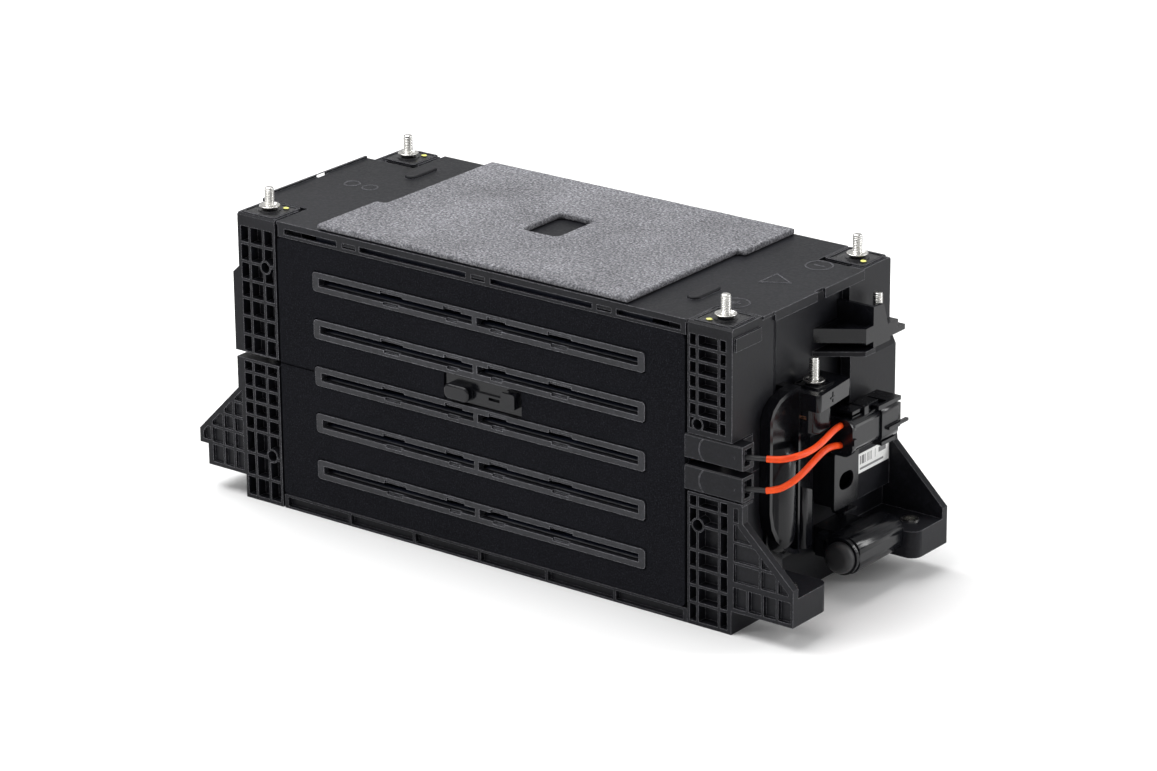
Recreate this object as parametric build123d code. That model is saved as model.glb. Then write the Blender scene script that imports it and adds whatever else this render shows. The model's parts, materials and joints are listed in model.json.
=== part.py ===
from build123d import *
import math
import os

# Air-cooled battery module: twelve flat prismatic cells in a ribbed plastic housing.
# Millimetres. X runs along the module, Y across it (front face at -Y), Z up.
# The origin is the centre of the underside, so the module stands on z = 0.

# ---- driving dimensions ----
BODY_LENGTH = 360.0
BODY_DEPTH = 157.0
BODY_HEIGHT = 181.6
HALF_X = BODY_LENGTH / 2
HALF_Y = BODY_DEPTH / 2

LAYERS = 6
CELL_PITCH = 29.6
CELL_HEIGHT = 26.4
CELL_LENGTH = 122.0
CELL_DEPTH = 148.0
CELL_GAP = 1.2
FIRST_LAYER_Z = 16.7

COLUMN_INNER = 149.8
SPLIT_Z = 92.0
WALL_OUTER = 175.0
WALL_INNER = 171.0
CAVITY_HALF_Y = 56.0
WAFFLE_DEPTH = 6.5
RIB = 1.7

ROD_X = 166.0
ROD_Y = 65.0
ROD_R = 3.0
SHANK_R = 2.7
ROD_TOP = 196.2
FOOT_BOLT_Y = 62.0
FOOT_BOLT_RIGHT = 207.0
FOOT_BOLT_LEFT = -198.0
BUSH_R = 5.3
BUSH_BORE_R = 3.5
FOOT_BOTTOM = 14.5
FOOT_TOP = 31.0

SLOT_LEFT = -122.0
SLOT_RIGHT = 120.5
SLOT_CENTRE = (SLOT_LEFT + SLOT_RIGHT) / 2
NOZZLE_HALF = 6.0
SLOT_HALF = 2.5
NOZZLE_END = 4.7
MAT_FACE = 78.3
MAT_BACK = 74.6
MAT_LEFT = -149.4
MAT_RIGHT = 147.6
MAT_BOTTOM = 9.0
MAT_TOP = 171.9

COVER_TOP = BODY_HEIGHT
COVER_THICK = 2.0
PAD_HALF = 15.0
PAD_X = 165.0
PAD_Y = 65.0
FOAM_TOP = 185.6

TERMINAL_Y = 40.0
BAR_HALF = 6.0
LID_X = CELL_GAP / 2 + CELL_LENGTH
TERMINAL_X = LID_X + 2.6

SLEEVE_TIP = (197.0, -69.2)
SLEEVE_TURN = math.degrees(math.atan2(5, 12))
SLEEVE_LENGTH = 16.6
UPPER_LEAD_Z = 107.0
LOWER_LEAD_Z = 88.2
LEAD_R = 1.9
SLEEVE_R = 1.55
HOUSING_END = 187.1

POSITIVE_STUD = (185.0, -6.0)
NEGATIVE_STUD = (187.0, 55.0)
CAP_CENTRE = (203.5, 28.2)
CAP_SPIGOT_R = 6.5
CAP_TRAVEL_BORE = 6.8

written = []


# ---- small helpers ----
def block(x0, x1, y0, y1, z0, z1):
    """Box between two corners."""
    size = (abs(x1 - x0), abs(y1 - y0), abs(z1 - z0))
    centre = ((x0 + x1) / 2, (y0 + y1) / 2, (z0 + z1) / 2)
    return Pos(*centre) * Box(*size)


def post(x, y, z0, z1, radius):
    """Vertical cylinder."""
    return Pos(x, y, (z0 + z1) / 2) * Cylinder(radius, z1 - z0)


def rod_y(x, z, y0, y1, radius):
    """Cylinder along Y."""
    return Pos(x, (y0 + y1) / 2, z) * Rot(90, 0, 0) * Cylinder(radius, abs(y1 - y0))


def rod_x(y, z, x0, x1, radius):
    """Cylinder along X."""
    return Pos((x0 + x1) / 2, y, z) * Rot(0, 90, 0) * Cylinder(radius, abs(x1 - x0))


def prism_xz(points, y0, y1):
    """Outline drawn in x and z, pushed from y0 to y1."""
    face = make_face(Polyline(*[(x, y0, z) for x, z in points], close=True))
    return extrude(face, amount=y1 - y0, dir=(0, 1, 0))


def prism_yz(points, x0, x1):
    """Outline drawn in y and z, pushed from x0 to x1."""
    face = make_face(Polyline(*[(x0, y, z) for y, z in points], close=True))
    return extrude(face, amount=x1 - x0, dir=(1, 0, 0))


def prism_xy(points, z0, z1):
    """Outline drawn in x and y, pushed from z0 to z1."""
    face = make_face(Polyline(*[(x, y, z0) for x, y in points], close=True))
    return extrude(face, amount=z1 - z0, dir=(0, 0, 1))


def soft_bar_y(x0, x1, z0, z1, y0, y1, radius):
    """Bar along Y whose four long edges are round."""
    shape = block(x0, x1, y0, y1, z0, z1)
    return fillet(shape.edges().filter_by(Axis.Y), radius)


def soft_slab(x0, x1, y0, y1, z0, z1, radius):
    """Slab whose four upright edges are round."""
    shape = block(x0, x1, y0, y1, z0, z1)
    return fillet(shape.edges().filter_by(Axis.Z), radius)


def layer_z(index):
    """Height of the middle of a cell layer, counted from 0 at the bottom."""
    return FIRST_LAYER_Z + CELL_PITCH * index


def save(name, shape):
    """Write one sub-part."""
    export_step(shape, "parts/" + name + ".step")
    written.append(name)


def group(shapes):
    """Separate solids that share one file."""
    solids = []
    for shape in shapes:
        solids.extend(shape.solids())
    return Compound(children=solids)


# ---- waffle ribbing of the corner columns ----
def pockets(x_lines, z_lines, face_y, depth):
    """Pockets between neighbouring rib lines, sunk from a face at face_y."""
    inward = face_y - math.copysign(depth, face_y)
    outward = face_y + math.copysign(1.0, face_y)
    half = RIB / 2
    cuts = []
    for x0, x1 in zip(x_lines, x_lines[1:]):
        for z0, z1 in zip(z_lines, z_lines[1:]):
            cuts.append(block(x0 + half, x1 - half, inward, outward, z0 + half, z1 - half))
    return cuts


def even_lines(start, pitch, count):
    """Evenly spaced rib lines."""
    return [start + pitch * i for i in range(count + 1)]


def ring_boss(x, z, face_y, outer, inner, depth):
    """Round boss and its hole where two ribs cross."""
    inward = face_y - math.copysign(depth, face_y)
    boss = rod_y(x, z, face_y, inward, outer)
    hole = rod_y(x, z, face_y + math.copysign(1.0, face_y), inward, inner)
    return boss, hole


def gusset_pockets(outline, x_lines, z_lines, face_y, depth):
    """Pockets between rib lines, kept inside an inner outline."""
    inward = face_y - math.copysign(depth, face_y)
    outward = face_y + math.copysign(1.0, face_y)
    inner = prism_xz(outline, min(inward, outward), max(inward, outward))
    cuts = []
    for cut in pockets(x_lines, z_lines, face_y, depth):
        trimmed = inner & cut
        if trimmed is not None and trimmed.volume > 4.0:
            cuts.extend(trimmed.solids())
    return cuts


# ---- right end frames ----
def right_plan(z0, z1):
    """Two corner columns joined by a recessed end wall, hollow behind it."""
    plan = [
        (COLUMN_INNER, -HALF_Y), (HALF_X, -HALF_Y), (HALF_X, -39), (WALL_OUTER, -29),
        (WALL_OUTER, 36.5), (HALF_X, 36.5), (HALF_X, HALF_Y), (COLUMN_INNER, HALF_Y),
    ]
    outer = prism_xy(plan, z0, z1)
    hollow = block(140, WALL_INNER, -CAVITY_HALF_Y, CAVITY_HALF_Y, z0 - 1, z1 + 1)
    low, high = max(z0, 2.4), min(z1, 179.2)
    strips = [block(134, COLUMN_INNER, side * 71.4, side * 73.8, low, high) for side in (-1, 1)]
    return outer - hollow + strips


def rod_holes(x, z0, z1):
    """Holes for the two tie rods of one end."""
    return [post(x, side * ROD_Y, z0 - 1, z1 + 1, ROD_R + 0.3) for side in (-1, 1)]


def lower_right_end_frame():
    frame = right_plan(0, SPLIT_Z)
    floor = block(COLUMN_INNER, 172, -CAVITY_HALF_Y, CAVITY_HALF_Y, 0, 2.4)
    back_panel = block(HALF_X - 1, 184.5, 31.5, HALF_Y, 45, SPLIT_Z)
    ledge = block(COLUMN_INNER, 187.0, -HALF_Y, -67.5, 78.6, 80.2)
    frame = frame + [floor, back_panel, ledge]

    # front and rear gusset plates with their feet
    gusset = [
        (178, FOOT_BOTTOM), (222, FOOT_BOTTOM), (222, 36.8), (187.4, 69), (187.4, 79), (178, 79),
    ]
    rear_gusset = [
        (178, FOOT_BOTTOM), (222, FOOT_BOTTOM), (222, 37.5), (187.0, 71.5), (184.4, 92), (178, 92),
    ]
    inner = [(181.5, 33), (218.5, 33), (218.5, 34.4), (184.6, 65.9), (184.6, 77), (181.5, 77)]
    frame = frame + [
        prism_xz(gusset, -HALF_Y, -73.5),
        prism_xz(rear_gusset, 73.5, HALF_Y),
        soft_foot(178, 222, -HALF_Y, -43, FOOT_TOP),
        soft_foot(178, 222, 45, HALF_Y, FOOT_TOP),
    ]

    cuts = []
    rows = [1.6, 13.5, 24, 34.8, 45.6, 61, 71.5, 79.2]
    for face in (-HALF_Y, HALF_Y):
        cuts += pockets([150.5, 156.6, 171.6, 178.0], rows, face, WAFFLE_DEPTH)
        cuts += gusset_pockets(inner, [180.6, 199.5, 211, 222], [32, 44.4, 56.6, 68, 79], face, 1.8)
        cuts += pockets([180.6, 191, 201.2, 211.2, 221.2], [16.0, 30.2], face, 2.6)
    frame = frame - cuts

    # clear the lead housing, the tie rods, the bushes, the riser bar and the ring holes
    frame = frame - [block(147, 190, -80, -58.8, 80.2, 97)]
    frame = frame - rod_holes(ROD_X, 0, SPLIT_Z)
    frame = frame - [post(FOOT_BOLT_RIGHT, side * FOOT_BOLT_Y, 10, 40, BUSH_R) for side in (-1, 1)]
    frame = frame - [block(170, 182, -46.4, -33.6, 14.8, 18.2)]
    frame = frame - [block(178.2, 182, -46.4, -33.6, 14.8, SPLIT_Z + 1)]
    for face in (-HALF_Y, HALF_Y):
        boss, hole = ring_boss(156.8, 61, face, 4.4, 3.4, WAFFLE_DEPTH + 1)
        frame = frame + boss - hole
    return frame - rod_head_pockets(ROD_X)


def soft_foot(x0, x1, y0, y1, top):
    """Foot block whose outer inboard corner is round."""
    foot = block(x0, x1, y0, y1, FOOT_BOTTOM, top)
    outer_x = x1 if x1 > 0 else x0
    inner_y = y1 if y0 < 0 else y0
    corner = [
        edge for edge in foot.edges().filter_by(Axis.Z)
        if abs(edge.center().X - outer_x) < 0.1 and abs(edge.center().Y - inner_y) < 0.1
    ]
    return fillet(corner, 7.0)


def rod_head_pockets(x):
    """Recesses under the columns for the rod heads."""
    return [post(x, side * ROD_Y, -1, 6.2, 6.4) for side in (-1, 1)]


def upper_right_end_frame():
    frame = right_plan(SPLIT_Z, COVER_TOP)
    # the cover rests between the corner pads
    frame = frame - [block(140, 190, -PAD_Y + PAD_HALF, PAD_Y - PAD_HALF, 179.3, 190)]
    upper_panel = prism_xz([(178, SPLIT_Z), (184.5, SPLIT_Z), (184.5, 130), (HALF_X, 139), (178, 139)],
                           51, HALF_Y)
    lower_panel = block(178, 184.5, 31.5, 51.2, SPLIT_Z, 139)
    shelf = prism_xy([(174, 7), (176, 7), (200, 24), (200, 33.6), (174, 33.6)], 140.4, 143.4)
    rim = block(HALF_X - 1, 181.2, -76.5, -52, 168, 176)
    frame = frame + [upper_panel, lower_panel, shelf, rim]

    cuts = []
    rows = even_lines(117.6, 8.2, 7)
    for face in (-HALF_Y, HALF_Y):
        cuts += pockets([150.4, 156.2, 171.0, 176.4], rows, face, WAFFLE_DEPTH)
    frame = frame - cuts
    frame = frame - [block(147, 190, -80, -58.8, 90, 115.0)]
    frame = frame - rod_holes(ROD_X, SPLIT_Z, 182)
    # windows for the two main bars and the terminal inserts
    frame = frame - [block(178.2, 182, -46.4, -33.6, SPLIT_Z - 1, 118)]
    frame = frame - [block(168, 186, 42.6, 55.4, 141.4, 145.6)]
    for face in (-HALF_Y, HALF_Y):
        boss, hole = ring_boss(156.5, 121.2, face, 4.0, 3.1, WAFFLE_DEPTH + 1)
        frame = frame + boss - hole
    return frame - top_edge_chamfers(1) + corner_rims(1)


def top_edge_chamfers(side):
    """Cuts along the front and rear top edges of one end's corner pads."""
    x0, x1 = sorted((side * (COLUMN_INNER - 1), side * (HALF_X + 9)))
    cuts = []
    for y_side in (-1, 1):
        outline = [
            (y_side * (HALF_Y + 1), COVER_TOP - 2.3), (y_side * (HALF_Y + 1), COVER_TOP + 1),
            (y_side * (HALF_Y - 2.3), COVER_TOP + 1),
        ]
        cuts.append(prism_yz(outline, x0, x1))
    return cuts


def corner_rims(side):
    """Raised square frame on each corner pad."""
    rims = []
    for y_side in (-1, 1):
        outer = soft_slab(side * PAD_X - 13.2, side * PAD_X + 13.2, y_side * PAD_Y - 12.4,
                          y_side * PAD_Y + 12.4, COVER_TOP - 0.5, COVER_TOP + 0.9, 2.0)
        inner = soft_slab(side * PAD_X - 11.4, side * PAD_X + 11.4, y_side * PAD_Y - 10.8,
                          y_side * PAD_Y + 10.8, COVER_TOP - 1, COVER_TOP + 2, 1.2)
        rims.append(outer - inner)
    return rims


# ---- left end frames ----
def left_plan(z0, z1):
    """Mirror arrangement of the right end, with a plain recessed wall."""
    plan = [
        (-151, -HALF_Y), (-HALF_X, -HALF_Y), (-HALF_X, -42), (-176, -36),
        (-176, 36), (-HALF_X, 42), (-HALF_X, HALF_Y), (-151, HALF_Y),
    ]
    outer = prism_xy(plan, z0, z1)
    hollow = block(-172, -140, -CAVITY_HALF_Y, CAVITY_HALF_Y, z0 - 1, z1 + 1)
    low, high = max(z0, 2.4), min(z1, 179.2)
    strips = [block(-151, -134, side * 71.4, side * 73.8, low, high) for side in (-1, 1)]
    ribs = [block(-HALF_X, -176, y - 1, y + 1, z0, z1 - 4) for y in (-24, -8, 8, 24)]
    return outer - hollow + strips + ribs


def lower_left_end_frame():
    top = 90.0
    frame = left_plan(0, top)
    floor = block(-172, -151, -CAVITY_HALF_Y, CAVITY_HALF_Y, 0, 2.4)
    gusset = [
        (-178, FOOT_BOTTOM), (-210, FOOT_BOTTOM), (-210, 27.8), (-216.5, 27.8), (-216.5, 36.8),
        (-183.8, 70), (-183.8, top), (-178, top),
    ]
    inner = [
        (-181, 17), (-207.5, 17), (-207.5, 30.6), (-213.6, 30.6), (-213.6, 35.6), (-181, 68.6),
    ]
    frame = frame + [
        floor,
        prism_xz(gusset, -HALF_Y, -73.5),
        prism_xz(gusset, 73.5, HALF_Y),
        soft_foot(-210, -178, -HALF_Y, -45, FOOT_TOP),
        soft_foot(-210, -178, 45, HALF_Y, FOOT_TOP),
        block(-184.0, -179, -HALF_Y, -58, 70, top),
        block(-184.0, -179, 58, HALF_Y, 70, top),
    ]
    cuts = []
    rows = [1.6, 15, 29.5, 44.5, 54, 63, 72, 81.5, 89.2]
    for face in (-HALF_Y, HALF_Y):
        cuts += pockets([-179.0, -171.3, -160.8, -151.6], rows, face, WAFFLE_DEPTH)
        cuts += gusset_pockets(inner, [-216.5, -207, -197, -188.5, -180.4], [16, 29, 40, 50, 60, 72],
                               face, 2.0)
    frame = frame - cuts
    frame = frame - rod_holes(-ROD_X, 0, top)
    frame = frame - [post(FOOT_BOLT_LEFT, side * FOOT_BOLT_Y, 10, 40, BUSH_R) for side in (-1, 1)]
    for face in (-HALF_Y, HALF_Y):
        boss, hole = ring_boss(-158.4, 31, face, 4.4, 3.4, WAFFLE_DEPTH + 1)
        frame = frame + boss - hole
    return frame - rod_head_pockets(-ROD_X)


def upper_left_end_frame():
    bottom = 94.0
    frame = left_plan(bottom, COVER_TOP)
    # a narrower neck closes the gap between the two halves
    frame = frame + [block(-178, -173, -58, 58, 90.0, bottom + 1)]
    frame = frame - [block(-192, -140, -PAD_Y + PAD_HALF, PAD_Y - PAD_HALF, 179.3, 190)]
    for side in (-1, 1):
        step = [(-178, bottom), (-184.8, bottom), (-184.8, 143.3), (-HALF_X, 147.8), (-178, 147.8)]
        y0, y1 = sorted((side * HALF_Y, side * 58))
        frame = frame + prism_xz(step, y0, y1)
    cuts = []
    for face in (-HALF_Y, HALF_Y):
        cuts += pockets([-178.4, -170.9, -160.2, -151.8], even_lines(bottom, 11.5, 7), face, WAFFLE_DEPTH)
    frame = frame - cuts
    frame = frame - rod_holes(-ROD_X, bottom, 182)
    for face in (-HALF_Y, HALF_Y):
        boss, hole = ring_boss(-159.2, 150.5, face, 4.3, 3.3, WAFFLE_DEPTH + 1)
        frame = frame + boss - hole
    return frame - top_edge_chamfers(-1) + corner_rims(-1)


# ---- base, plates and rods ----
def base_tray():
    tray = block(-149.4, 149.6, -74.4, 74.4, 0, 2.0)
    for side in (-1, 1):
        y0, y1 = sorted((side * 74.0, side * HALF_Y))
        tray = tray + block(-149.4, 149.6, y0, y1, 0, 8.8)
        cuts = []
        edges = [-147.8 + 49.25 * i for i in range(7)]
        for x0, x1 in zip(edges, edges[1:]):
            outer_y = side * (HALF_Y + 1)
            c0, c1 = sorted((outer_y, side * (HALF_Y - 3.2)))
            cuts.append(block(x0 + 1, x1 - 1, c0, c1, 1.4, 7.2))
        tray = tray - cuts
    # shallow stiffening grooves on the underside
    grooves = [block(-140, 140, y - 1.5, y + 1.5, -1, 0.6) for y in (-54, -27, 0, 27, 54)]
    return tray - grooves


def compression_plates(z0, z1):
    """Two steel plates across the whole stack, one each side of the crossover bar."""
    plate = soft_slab(-122, 122, -72, 72, z0, z1, 4.0)
    slot = block(-130, 130, -TERMINAL_Y - BAR_HALF - 0.4, -TERMINAL_Y + BAR_HALF + 0.4, z0 - 1, z1 + 1)
    holes = [post(x, y, z0 - 1, z1 + 1, 9.0) for x in (-80, -27, 27, 80) for y in (5, 45)]
    return plate - [slot] - holes


def tie_rods():
    rods = []
    for x in (-ROD_X, ROD_X):
        for y in (-ROD_Y, ROD_Y):
            thread = post(x, y, COVER_TOP + 3.6, ROD_TOP, ROD_R)
            thread = chamfer(thread.edges().sort_by(Axis.Z)[-1], 0.9)
            shank = post(x, y, 3.0, COVER_TOP + 4.0, SHANK_R)
            rods.append(shank + [thread, post(x, y, 1.6, 5.6, 5.6)])
    return rods


def cup_washers():
    """Flared collars that hold the rod tops on the corner plates."""
    cups = []
    for x in (-ROD_X, ROD_X):
        for y in (-ROD_Y, ROD_Y):
            z = COVER_TOP + 1.0
            body = post(x, y, z, z + 1.2, 4.6) + Pos(x, y, z + 1.9) * Cone(4.6, 6.4, 1.4)
            dish = Pos(x, y, z + 2.3) * Cone(3.6, 5.9, 0.8)
            cups.append(body - dish - post(x, y, z - 1, z + 4, ROD_R))
    return cups


DOT_PLACES = {(1, -1): (-5.1, -8.5), (1, 1): (7.9, -5.6), (-1, 1): (7.6, 6.0), (-1, -1): (7.6, 6.0)}


def corner_plates():
    """Pads under the rod collars, each with a small nub for a paint mark."""
    plates = []
    for x in (-1, 1):
        for y in (-1, 1):
            plate = soft_slab(x * PAD_X - 11.2, x * PAD_X + 11.2, y * PAD_Y - 10.6, y * PAD_Y + 10.6,
                              COVER_TOP, COVER_TOP + 0.5, 1.0)
            boss = post(x * ROD_X, y * ROD_Y, COVER_TOP, COVER_TOP + 1.0, 7.0)
            dot_x, dot_y = DOT_PLACES[x, y]
            dot = post(x * ROD_X + dot_x, y * ROD_Y + dot_y, COVER_TOP, COVER_TOP + 1.2, 1.7)
            hole = post(x * ROD_X, y * ROD_Y, COVER_TOP - 1, COVER_TOP + 3, ROD_R)
            plates.append(plate + [boss, dot] - hole)
    return plates


def foot_bushes():
    bushes = []
    for x in (FOOT_BOLT_LEFT, FOOT_BOLT_RIGHT):
        for y in (-FOOT_BOLT_Y, FOOT_BOLT_Y):
            tube = post(x, y, FOOT_BOTTOM, FOOT_TOP + 0.6, BUSH_R)
            bushes.append(tube - post(x, y, 10, 40, BUSH_BORE_R))
    return bushes


# ---- cooling-air spacers and mats ----
NOTCHES = [(-70.6, -54.0), (-23.4, -10.4)]


def nozzle(z, side):
    """Slotted mouth that shows through the mat."""
    y0, y1 = sorted((side * 74.3, side * (HALF_Y + 0.6)))
    rim = soft_bar_y(SLOT_LEFT, SLOT_RIGHT, z - NOZZLE_HALF, z + NOZZLE_HALF, y0, y1, 2.2)
    mouth = block(SLOT_LEFT + NOZZLE_END, SLOT_RIGHT - NOZZLE_END, y0 - 1, y1 + 1,
                  z - SLOT_HALF, z + SLOT_HALF)
    rib = block(SLOT_CENTRE - 1.6, SLOT_CENTRE + 1.6, y0, y1, z - 4, z + 4)
    rim = rim - mouth + rib
    face = side * (HALF_Y + 1.6)
    deep = side * (HALF_Y - 1.2)
    n0, n1 = sorted((face, deep))
    cuts = []
    for a, b in NOTCHES:
        for x0, x1 in ((a, b), (2 * SLOT_CENTRE - b, 2 * SLOT_CENTRE - a)):
            cuts.append(block(x0, x1, n0, n1, z + SLOT_HALF - 1, z + SLOT_HALF + 1.9))
            cuts.append(block(x0 + 2, x1 - 3, n0, n1, z - SLOT_HALF - 1.5, z - SLOT_HALF + 1))
    return rim - cuts


def channel_spacer(index):
    """Ribs that hold two cell layers apart, with a mouth at each side."""
    z = layer_z(index) + CELL_PITCH / 2
    ribs = []
    last_rib = 12
    first = SLOT_LEFT + 2.4
    pitch = (SLOT_RIGHT - SLOT_LEFT - 4.8) / last_rib
    for i in range(last_rib + 1):
        x = first + pitch * i
        if i in (0, last_rib // 2, last_rib):
            ribs.append(block(x - 1.1, x + 1.1, -76.6, 76.6, z - 1.55, z + 1.55))
            for side in (-1, 1):
                y0, y1 = sorted((side * 74.3, side * 76.6))
                ribs.append(block(x - 1.1, x + 1.1, y0, y1, z - 2.7, z + 2.7))
        else:
            ribs.append(block(x - 1.1, x + 1.1, -50, 50, z - 1.55, z + 1.55))
    ties = [block(first, SLOT_RIGHT - 2.4, y - 2, y + 2, z - 0.4, z + 0.4) for y in (-46, 46)]
    ribs.extend(ties)
    return nozzle(z, -1) + [nozzle(z, 1)] + ribs


CLIP_WINDOW = (-24.5, 32.5, 97.4, 113.6)


def gasket(side):
    """Foam mat that seals the air mouths, cut out round each one."""
    y0, y1 = sorted((side * MAT_BACK, side * MAT_FACE))
    mat = soft_bar_y(MAT_LEFT, MAT_RIGHT, MAT_BOTTOM, MAT_TOP, y0, y1, 3.0)
    cuts = []
    for i in range(LAYERS - 1):
        z = layer_z(i) + CELL_PITCH / 2
        cuts.append(soft_bar_y(SLOT_LEFT - 0.7, SLOT_RIGHT + 0.7, z - NOZZLE_HALF - 0.7,
                               z + NOZZLE_HALF + 0.7, y0 - 1, y1 + 1, 2.8))
    # parting groove at the left, level with the joint of the end frames
    g0, g1 = sorted((side * (MAT_FACE + 1), side * (MAT_FACE - 1.0)))
    cuts.append(block(MAT_LEFT - 1, SLOT_LEFT, g0, g1, 92.4, 93.4))
    if side < 0:
        a, b, c, d = CLIP_WINDOW
        cuts.append(soft_bar_y(a, b, c, d, y0 - 1, y1 + 1, 1.5))
    return mat - cuts


def harness_clip():
    """Small plate with a rounded holder and a hook."""
    a, b, c, d = CLIP_WINDOW
    plate = soft_bar_y(a + 0.4, b - 0.4, c + 0.4, d - 0.4, -77.0, -MAT_BACK, 1.2)
    knob = soft_bar_y(-21.5, -3.0, 99.5, 109.0, -83.0, -76.5, 4.0)
    knob = fillet(knob.faces().sort_by(Axis.Y)[0].edges(), 1.6)
    knob_cut = block(-6.4, 0, -82, -78.6, 98, 110)
    tongue = block(-2.0, 17.5, -78.4, -76.5, 102.0, 106.4)
    hook = soft_bar_y(20.5, 30.5, 102.5, 112.0, -82.6, -76.5, 1.4)
    hook_cut = block(19, 27.5, -81.2, -78.2, 104.6, 113.5)
    window = block(8.5, 16.5, -80, -76.0, 103.2, 105.0)
    return plate + [knob - knob_cut, tongue, hook - hook_cut] - window


# ---- cells and bars ----
def cell(side, index):
    """Sealed flat can with its lid at the module's end."""
    x0, x1 = sorted((side * CELL_GAP / 2, side * LID_X))
    z = layer_z(index)
    half = CELL_HEIGHT / 2
    can = block(x0, x1, -CELL_DEPTH / 2, CELL_DEPTH / 2, z - half, z + half)
    can = fillet(can.edges().filter_by(Axis.X), 2.4)
    lid = [edge for edge in can.edges() if abs(edge.center().X - side * CELL_GAP / 2) < 0.01]
    return fillet(lid, 1.2)


def cell_terminals():
    pads = []
    for side in (-1, 1):
        x0, x1 = sorted((side * LID_X, side * TERMINAL_X))
        for index in range(LAYERS):
            for y in (-TERMINAL_Y, TERMINAL_Y):
                z = layer_z(index)
                pads.append(block(x0, x1, y - 11, y + 11, z - 7.5, z + 7.5))
    return pads


def cell_vents():
    discs = []
    for side in (-1, 1):
        x0, x1 = sorted((side * LID_X, side * (LID_X + 0.6)))
        for index in range(LAYERS):
            discs.append(rod_x(0, layer_z(index), x0, x1, 8.0))
    return discs


def busbars(side):
    """Bars that join neighbouring layers in series, raised in the middle."""
    bars = []
    x0, x1 = sorted((side * TERMINAL_X, side * (TERMINAL_X + 2.0)))
    a0, a1 = sorted((side * (TERMINAL_X + 1.5), side * (TERMINAL_X + 3.5)))
    for index in range(LAYERS - 1):
        y = TERMINAL_Y if index % 2 == 0 else -TERMINAL_Y
        low = layer_z(index)
        high = layer_z(index + 1)
        bar = block(x0, x1, y - 9, y + 9, low - 6, low + 8.5)
        bar = bar + block(x0, x1, y - 9, y + 9, high - 8.5, high + 6)
        bars.append(bar + block(a0, a1, y - 9, y + 9, low + 7.5, high - 7.5))
    return bars


def upper_crossover_bar():
    z = 178.1
    y0, y1 = -TERMINAL_Y - BAR_HALF, -TERMINAL_Y + BAR_HALF
    bar = block(-TERMINAL_X - 2, TERMINAL_X + 2, y0, y1, z, z + 1.1)
    top = layer_z(LAYERS - 1)
    tabs = []
    for side in (-1, 1):
        x0, x1 = sorted((side * TERMINAL_X, side * (TERMINAL_X + 2)))
        tabs.append(block(x0, x1, y0, y1, top - 6, z + 1.1))
    return bar + tabs


def lower_crossover_bar():
    z = 2.1
    y0, y1 = -TERMINAL_Y - BAR_HALF, -TERMINAL_Y + BAR_HALF
    bar = block(-TERMINAL_X - 2, 145, y0, y1, z, z + 1.1)
    tab = block(-TERMINAL_X - 2, -TERMINAL_X, y0, y1, z, layer_z(0) + 6)
    leg = block(133, 145, y0, 55, z, z + 1.1)
    return bar + [tab, leg]


def negative_link_bar():
    upright = block(143, 145, 43, 55, 3.2, 144.4)
    arm = block(143, 195, 43, 55, 142.4, 144.4)
    x, y = NEGATIVE_STUD
    return upright + arm - post(x, y, 140, 150, SHANK_R)


def positive_riser_bar():
    y0, y1 = -TERMINAL_Y - BAR_HALF, -TERMINAL_Y + BAR_HALF
    tab = block(TERMINAL_X, TERMINAL_X + 2, y0, y1, layer_z(0) - 6, layer_z(0) + 6)
    run = block(TERMINAL_X + 1.9, 180.5, y0, y1, 15.5, 17.5)
    upright = block(178.5, 180.5, y0, y1, 15.5, 116)
    arm = block(178.5, 180.5, y0, -0.5, 114, 116)
    pad = block(178.5, 190.5, -21.0, -0.5, 114, 116)
    x, y = POSITIVE_STUD
    return tab + [run, upright, arm, pad] - post(x, y, 110, 120, SHANK_R)


def monitor_board():
    """Cell monitoring board with its larger components."""
    board = block(150.5, 152.1, -30, 34, 30, 132)
    bumps = []
    for row in range(4):
        for col in range(3):
            y = -20 + 20 * col
            z = 44 + 24 * row
            bumps.append(block(152.1, 154.3, y - 5, y + 5, z - 6, z + 6))
    header = block(152.1, 160, -14, 18, 116, 128)
    return board + bumps + [header]


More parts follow.
